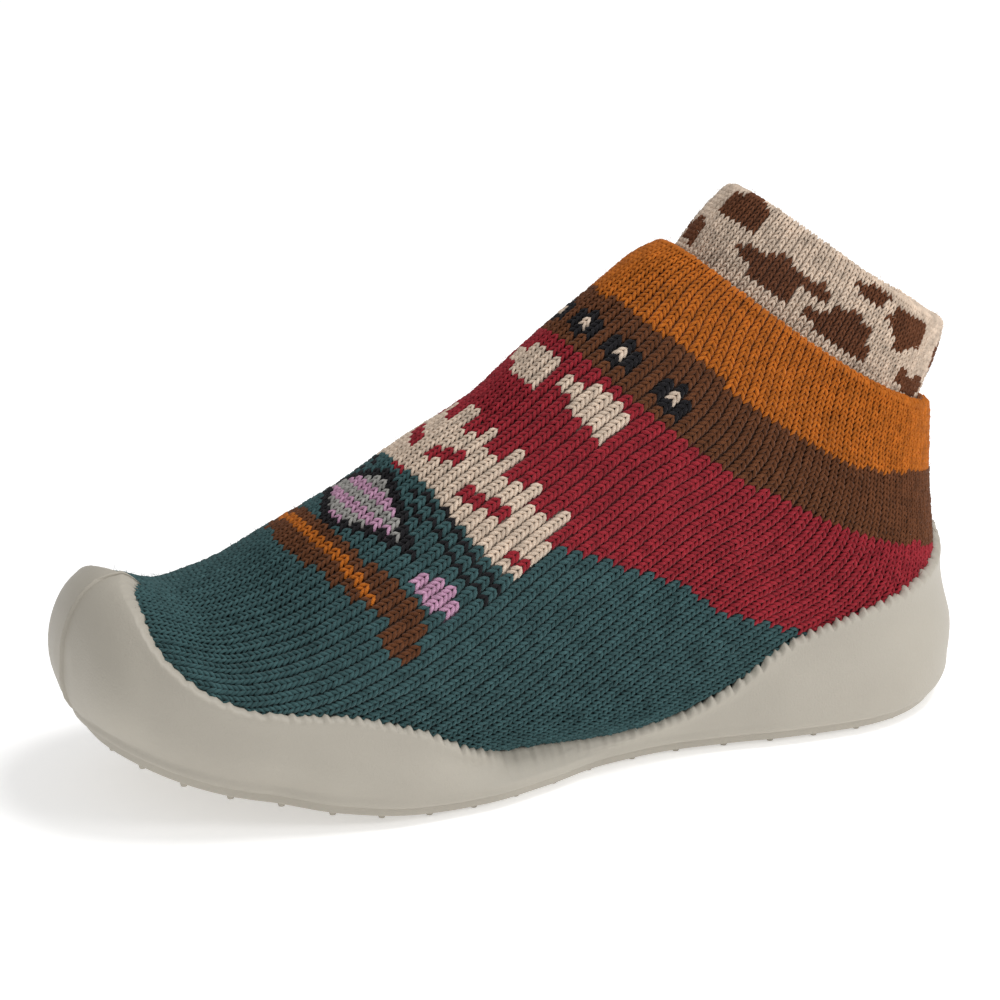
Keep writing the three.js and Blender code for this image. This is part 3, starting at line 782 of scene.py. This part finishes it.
def dyed_yarn(name, colour):
    """Dyed cotton yarn: soft, matt, a little mottled, with fine fibres along it."""
    material, shader, links = finish_nodes("yarn_" + name, 0.9, 0.08)
    shader.inputs["Specular IOR Level"].default_value = 0.12
    place = add_noise_bump(material, 5200, 0.00012, 2)
    mottle = tex(material, "ShaderNodeTexNoise", scale=520, detail=3)
    ramp = tex(material, "ShaderNodeValToRGB")
    ramp.color_ramp.elements[0].position = 0.28
    ramp.color_ramp.elements[0].color = (*[c * 0.72 for c in colour], 1)
    ramp.color_ramp.elements[1].position = 0.72
    ramp.color_ramp.elements[1].color = (*[min(1, c * 1.22) for c in colour], 1)
    links.new(place.outputs["Object"], mottle.inputs["Vector"])
    links.new(mottle.outputs["Fac"], ramp.inputs["Fac"])
    links.new(ramp.outputs["Color"], shader.inputs["Base Color"])
    return material


yarn_finish = {letter: dyed_yarn(name, colour) for letter, (name, colour) in YARNS.items()}


# The columns of a table of stitches, and how near a wale's ends its first and last stitches lie.
PLACE, ALONG, OUT, PITCH, MARKS, WALE = slice(0, 3), slice(3, 6), slice(6, 9), 9, slice(10, 13), 13
FROM_TOP, FROM_TOE, EITHER_WAY = 0.3, 1.0, 0.2


def along_wales(curves, normals, marks, spacing):
    """Stitches at even steps down each wale from its top end: place, along, out, pitch, marks, wale."""
    found = []
    across = (np.roll(curves, -1, 1) - np.roll(curves, 1, 1)) / 2
    pitch = np.linalg.norm(across, axis=-1)
    for j in range(curves.shape[1]):
        arc = np.concatenate([[0], np.cumsum(np.linalg.norm(np.diff(curves[:, j], axis=0), axis=1))])
        at = np.arange(arc[-1] - FROM_TOP, FROM_TOE, -spacing)
        point = np.stack([np.interp(at, arc, curves[:, j, k]) for k in range(3)], 1)
        ahead = np.stack([np.interp(at + EITHER_WAY, arc, curves[:, j, k]) for k in range(3)], 1)
        behind = np.stack([np.interp(at - EITHER_WAY, arc, curves[:, j, k]) for k in range(3)], 1)
        normal = np.stack([np.interp(at, arc, normals[:, j, k]) for k in range(3)], 1)
        wide = np.interp(at, arc, pitch[:, j])
        mark = np.stack([np.interp(at, arc, m[:, j]) for m in marks], 1)
        row = [point, ahead - behind, normal, wide[:, None], mark, np.full((len(at), 1), j)]
        found.append(np.concatenate(row, 1))
    return np.concatenate(found)


def under_rubber(points, normals):
    """Whether the rubber lies over each point, a little below the lip or further down."""
    hidden = []
    for point, normal in zip(points, normals):
        start = Vector(point - normal * 0.3) + Vector((0, 0, 1.0))
        hidden.append(sole_form.ray_cast(start, Vector(normal), 9)[0] is not None)
    return np.array(hidden)


# The sock's stitches, a course every 0.93 mm, running over the turned edge of the top band. The rubber hides
# the rest of the foot, so none are made there.
SHOWN_FROM, EDGE_LOOPS, EDGE_STEP = 0.16, 7, 0.4
shown_rows = (ROWS_OF_T > SHOWN_FROM) & (ROWS_OF_T <= FOLD_START)
outer_curves = wale_grid[shown_rows]
outer_normals = wale_normals[shown_rows]
edge_curves = fold(outer_curves, outer_normals, KNIT_WALL, EDGE_LOOPS)
edge_middle = outer_curves[-1] - outer_normals[-1] * KNIT_WALL / 2
edge_normals = edge_curves - edge_middle
edge_normals /= np.linalg.norm(edge_normals, axis=-1, keepdims=True)
shown_t = np.repeat(ROWS_OF_T[shown_rows][:, None], WALES, 1)
shown_turn = wale_turn(ROWS_OF_T, wales)[shown_rows]
shown_arc = wale_arc[shown_rows]
edge_turn = np.repeat(shown_turn[-1:], EDGE_LOOPS, 0)
edge_arc = np.repeat(shown_arc[-1:], EDGE_LOOPS, 0) + np.arange(1, EDGE_LOOPS + 1)[:, None] * EDGE_STEP
curves = np.concatenate([outer_curves, edge_curves])
normals = np.concatenate([outer_normals, edge_normals])
marks = [
    np.concatenate([shown_t, np.ones((EDGE_LOOPS, WALES))]),
    np.concatenate([shown_turn, edge_turn]),
    np.concatenate([shown_arc, edge_arc]),
]
stitches = along_wales(curves, normals, marks, COURSE)
stitches = stitches[~under_rubber(stitches[:, PLACE], stitches[:, OUT])]
stitch_t, stitch_turn, stitch_arc = stitches[:, MARKS].T
stitch_letters = sock_yarn(stitch_t, stitch_turn, wales[stitches[:, WALE].astype(int)], stitch_arc)

# The second mark, a turn or a wale, is above zero on the wearer's left. Each stitch is a little uneven in
# size, height and lean, and is sunk into the ground.
SIDE_MARK = 11
SPLIT_OVER, FIBRES_OVER, FIBRE_SHARE = 2500, 600, 0.55
UNEVEN_SIZE, UNEVEN_HEIGHT, UNEVEN_LEAN, STITCH_SINK = 0.05, 0.04, 0.012, 0.12
random = np.random.default_rng(7)


def knit_pieces(prefix, rows, row_letters):
    """One piece of stitches for each yarn, and the yarn's loose fibres."""
    for letter in sorted(set(row_letters)):
        name = YARNS[letter][0]
        mine = rows[row_letters == letter]
        parts = {"": mine}
        if len(mine) > SPLIT_OVER:
            parts = {"_left": mine[mine[:, SIDE_MARK] >= 0], "_right": mine[mine[:, SIDE_MARK] < 0]}
        for part, chosen in parts.items():
            out = chosen[:, OUT]
            jitter = random.normal(0, 1, (len(chosen), 3))
            size = np.stack([chosen[:, PITCH] / NOMINAL_PITCH, np.ones(len(chosen)), np.ones(len(chosen))], 1)
            size *= 1 + UNEVEN_SIZE * jitter
            points = chosen[:, PLACE] + out * (UNEVEN_HEIGHT * jitter[:, :1] - STITCH_SINK)
            lean = chosen[:, ALONG] + UNEVEN_LEAN * random.normal(0, 1, (len(chosen), 3))
            piece = lay_yarn(prefix + name + part, points, lean, out, size, yarn_finish[letter], **STITCH)
            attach(piece, "root")
        if len(mine) > FIBRES_OVER:
            picked = mine[random.integers(0, len(mine), int(len(mine) * FIBRE_SHARE))]
            out = picked[:, OUT]
            size = np.ones((len(picked), 3)) * random.uniform(0.3, 0.85, (len(picked), 1))
            way = random.normal(0, 1, (len(picked), 3))
            drift = 0.5 * random.normal(0, 1, (len(picked), 3))
            drift -= out * np.sum(drift * out, 1)[:, None]
            points = picked[:, PLACE] + drift - out * 0.1
            leaning = out + 0.6 * random.normal(0, 1, (len(picked), 3))
            fibres = lay_yarn(
                prefix + name + "_fibres", points, way, leaning, size, yarn_finish[letter], **FIBRE
            )
            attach(fibres, "root")


knit_pieces("sock_", stitches, stitch_letters)

# The welt cuff: fine knit folded double, that stands out of the sock's top band and narrows to a rounded
# rim. It is cream with brown spots, each an oval of whole stitches. Each row gives the rise, lean, depth,
# width and drop at the heel, and each spot its wale, height, half width and half height.
CUFF_WALL, CUFF_RISE, FIT_GAP, CUFF_GROUND_DEPTH = 2.8, 15.0, 0.3, 0.4
FAR_SIDE_LIFT = 1.9
CUFF_ROWS = np.array(
    [
        (0, 0, 1, 1, 0),
        (0.14, 0, 0.99, 0.99, 0),
        (0.42, 0.01, 0.97, 0.98, 0.02),
        (0.7, 0.01, 0.94, 0.95, 0.03),
        (0.92, 0.02, 0.9, 0.905, 0.03),
    ]
)
cuff_turns = wale_turn(np.array((1.0,)), wales)[0]
HIDDEN_FROM, HIDDEN_LOOPS = 0.93, 8
hidden_t = np.linspace(HIDDEN_FROM, 1, HIDDEN_LOOPS)
hidden = sock_point(np.repeat(hidden_t[:, None], WALES, 1), wale_turn(hidden_t, wales))
hidden = hidden - outward(hidden) * (KNIT_WALL + FIT_GAP)
top = hidden[-1]
cuff_middle = top.mean(0)
front = sock_point(1.0, 0.0)
back = sock_point(1.0, 0.5)
across = (front - back) / np.linalg.norm(front - back)
upward = np.array((-across[2], 0, across[0]))
heel_side = (1 - np.cos(2 * np.pi * cuff_turns)) / 2
far_lift = FAR_SIDE_LIFT * np.clip(-np.sin(2 * np.pi * cuff_turns), 0, 1) * heel_side
cuff_shown = []
for k in np.linspace(0, 4, 25)[1:]:
    columns = CUFF_ROWS.T
    rise, lean, depth, width, drop = [float(smooth_table(np.arange(5), column, k)) for column in columns]
    arm = (top - cuff_middle) * depth
    arm[:, 1] *= width / depth
    raised = CUFF_RISE * (rise - drop * heel_side) + rise * far_lift
    cuff_shown.append(cuff_middle + arm + across * CUFF_RISE * lean + upward[None] * raised[:, None])
cuff_outer = np.concatenate([hidden, np.array(cuff_shown)])
cuff_normals = outward(cuff_outer)
cuff_rim = fold(cuff_outer, cuff_normals, CUFF_WALL, EDGE_LOOPS)
cuff_inner = (cuff_outer - cuff_normals * CUFF_WALL)[::-2]
SPOTS = (
    (3.5, 12.8, 3.8, 3.2),
    (11.5, 6.0, 4.2, 3.0),
    (17.5, 7.1, 1.5, 1.4),
    (22.5, 3.8, 4.4, 3.2),
    (31.5, 9.6, 4.0, 3.0),
    (37, 2.2, 4.2, 1.9),
    (-2, 5.6, 2.2, 2.6),
    (24, 11.6, 2.6, 1.6),
    (-9, 8.5, 4.0, 3.0),
    (-17, 3.6, 4.2, 2.8),
    (-20, 11.2, 2.4, 1.5),
    (-27, 7.4, 4.2, 3.0),
    (-36, 3.2, 4.0, 2.6),
    (44, 8.0, 3.6, 3.0),
    (-42, 9.4, 3.0, 2.4),
    (-49, 3.0, 3.4, 2.2),
)


def cuff_yarn(wale, height):
    """Cream, or the spots' brown inside an uneven oval."""
    letters = np.full(wale.shape, "C")
    for middle, rise, half_width, half_height in SPOTS:
        distance = (wale - middle + WALES / 2) % WALES - WALES / 2
        angle = np.arctan2((height - rise) / half_height, distance / half_width)
        uneven = 1 + 0.16 * np.sin(3 * angle + middle) + 0.1 * np.sin(5 * angle + rise)
        letters[np.hypot(distance / half_width, (height - rise) / half_height) < uneven] = "S"
    return letters


def cuff_height(points):
    return (points - cuff_middle) @ upward


cuff_under = cuff_outer - cuff_normals * CUFF_GROUND_DEPTH
cuff_top = fold(cuff_under, cuff_normals, CUFF_WALL - CUFF_GROUND_DEPTH, EDGE_LOOPS)
cuff_body = np.concatenate([cuff_under, cuff_top, cuff_inner])
cuff_faces = loop_faces(len(cuff_body), WALES, closed_ends=False, ring=True)
cuff_ground = mesh_object("knit_cuff", cuff_body.reshape(-1, 3), cuff_faces, [ground])
cuff_letters = cuff_yarn(np.repeat(wales[None], len(cuff_body), 0), cuff_height(cuff_body))
# Painted shade: the cuff's ground is darkened under its stitches and over the rim to stand for the shadow
# between stitches, and dimmed less on the lining inside.
CUFF_UNDER_PAINTED_SHADE, CUFF_LINING_PAINTED_SHADE = 0.5, 0.85
cuff_painted_shade = np.full(len(cuff_body), CUFF_UNDER_PAINTED_SHADE)
cuff_painted_shade[len(cuff_outer) + EDGE_LOOPS :] = CUFF_LINING_PAINTED_SHADE
cuff_colours = np.array([[shade[c] for c in row] for row in cuff_letters]) * cuff_painted_shade[:, None, None]
paint(cuff_ground, cuff_colours.reshape(-1, 3))
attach(cuff_ground, "root")
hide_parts("cuff")

rim_middle = cuff_outer[-1] - cuff_normals[-1] * CUFF_WALL / 2
rim_normals = cuff_rim - rim_middle
rim_normals /= np.linalg.norm(rim_normals, axis=-1, keepdims=True)
FIRST_LOOP, LINING_LOOPS = 5, 11
down_inside = slice(None, -LINING_LOOPS - 1, -1)
lining = (cuff_outer - cuff_normals * CUFF_WALL)[down_inside]
cuff_curves = np.concatenate([cuff_outer[FIRST_LOOP:], cuff_rim, lining])
cuff_curve_normals = np.concatenate([cuff_normals[FIRST_LOOP:], rim_normals, -cuff_normals[down_inside]])
cuff_stitches = along_wales(cuff_curves, cuff_curve_normals, [cuff_height(cuff_curves)] * 3, COURSE)
cuff_stitches[:, SIDE_MARK] = wales[cuff_stitches[:, WALE].astype(int)]
cuff_stitch_letters = cuff_yarn(cuff_stitches[:, SIDE_MARK], cuff_stitches[:, MARKS][:, 0])
knit_pieces("cuff_", cuff_stitches, cuff_stitch_letters)

# Small round nubs moulded under the tread: a ring along its edge, open round the heel, and staggered rows
# inside it. The slipper stands on them.
NUB_RADIUS, NUB_PITCH, NUB_ROOT, NUB_INSET, ROWS_INSET, NUB_SIDES = 0.85, 8.0, 0.6, 1.5, 5.5, 14
NUB_FOOT_SHARE, NUB_TIP_SHARE, OPEN_HEEL = 1.05, 0.6, 0.08
edge_row = rubber_loops[-5]


def on_tread(x, y, margin):
    """Whether the place is inside the tread's edge by more than the margin."""
    outline = edge_row[:, :2]
    following = np.roll(outline, -1, 0)
    crossing = (outline[:, 1] > y) != (following[:, 1] > y)
    rise = np.where(following[:, 1] == outline[:, 1], 1, following[:, 1] - outline[:, 1])
    meets = outline[:, 0] + (following[:, 0] - outline[:, 0]) * (y - outline[:, 1]) / rise
    within = np.count_nonzero(crossing & (x < meets)) % 2 == 1
    return within and np.min(np.hypot(outline[:, 0] - x, outline[:, 1] - y)) > margin


nub_places = []
row_gap = NUB_PITCH * math.sqrt(3) / 2
for i in range(-12, 13):
    for j in range(-8, 9):
        x = i * row_gap + CENTRED[0]
        y = (j + (0.5 if i % 2 else 0)) * NUB_PITCH + CENTRED[1]
        if on_tread(x, y, ROWS_INSET):
            nub_places.append((x, y, float(sole_line(x - CENTRED[0])) - NUB_HEIGHT))
rim_of_tread = edge_row[:, :2]
inward = np.roll(rim_of_tread, -1, 0) - np.roll(rim_of_tread, 1, 0)
edge_step = np.maximum(np.linalg.norm(inward, axis=1, keepdims=True), 1e-9)
inward = np.stack([inward[:, 1], -inward[:, 0]], 1) / edge_step
if np.mean(np.sum(inward * (rim_of_tread - rim_of_tread.mean(0)), 1)) > 0:
    inward = -inward
gone = np.concatenate([[0], np.cumsum(np.linalg.norm(np.diff(rim_of_tread, axis=0), axis=1))])
for distance in np.linspace(0, gone[-1], int(gone[-1] / NUB_PITCH) + 1)[:-1]:
    k = int(np.searchsorted(gone, distance + 0.01)) % len(rim_of_tread)
    x, y = rim_of_tread[k] + inward[k] * NUB_INSET
    if x - CENTRED[0] < HEEL_BACK + OPEN_HEEL * SOCK_LENGTH:
        continue
    nub_places.append((x, y, float(sole_line(x - CENTRED[0])) - NUB_HEIGHT))
nub_places = np.array(nub_places)


def nub_tree():
    inputs = [("Radius", "Float"), ("Tip", "Float"), ("Depth", "Float"), ("Rubber", "Material")]
    tree = tree_with("moulded_nubs", inputs)
    given = tree.nodes.new("NodeGroupInput")
    result = tree.nodes.new("NodeGroupOutput")
    nub = tree.nodes.new("GeometryNodeMeshCone")
    nub.inputs["Vertices"].default_value = NUB_SIDES
    tree.links.new(given.outputs["Radius"], nub.inputs["Radius Top"])
    tree.links.new(given.outputs["Tip"], nub.inputs["Radius Bottom"])
    tree.links.new(given.outputs["Depth"], nub.inputs["Depth"])
    lay = tree.nodes.new("GeometryNodeInstanceOnPoints")
    tree.links.new(given.outputs[0], lay.inputs["Points"])
    tree.links.new(nub.outputs["Mesh"], lay.inputs["Instance"])
    real = tree.nodes.new("GeometryNodeRealizeInstances")
    tree.links.new(lay.outputs[0], real.inputs[0])
    dress = tree.nodes.new("GeometryNodeSetMaterial")
    tree.links.new(real.outputs[0], dress.inputs[0])
    tree.links.new(given.outputs["Rubber"], dress.inputs["Material"])
    tree.links.new(dress.outputs[0], result.inputs[0])
    return tree


nub_mesh = bpy.data.meshes.new("tread_nubs")
nub_mesh.from_pydata([tuple(p) for p in nub_places * MM], [], [])
nubs = bpy.data.objects.new("tread_nubs", nub_mesh)
collection.objects.link(nubs)
nub_modifier = nubs.modifiers.new("moulded_nubs", "NODES")
nub_modifier.node_group = nub_tree()
nub_inputs = input_keys(nub_modifier.node_group)
nub_modifier[nub_inputs["Radius"]] = NUB_RADIUS * NUB_FOOT_SHARE * MM
nub_modifier[nub_inputs["Tip"]] = NUB_RADIUS * NUB_TIP_SHARE * MM
nub_modifier[nub_inputs["Depth"]] = (NUB_HEIGHT + NUB_ROOT) * MM
nub_modifier[nub_inputs["Rubber"]] = rubber
plain_nubs = bpy.data.meshes.new_from_object(nubs.evaluated_get(bpy.context.evaluated_depsgraph_get()))
nubs.modifiers.remove(nub_modifier)
nubs.data = plain_nubs
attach(nubs, "root")
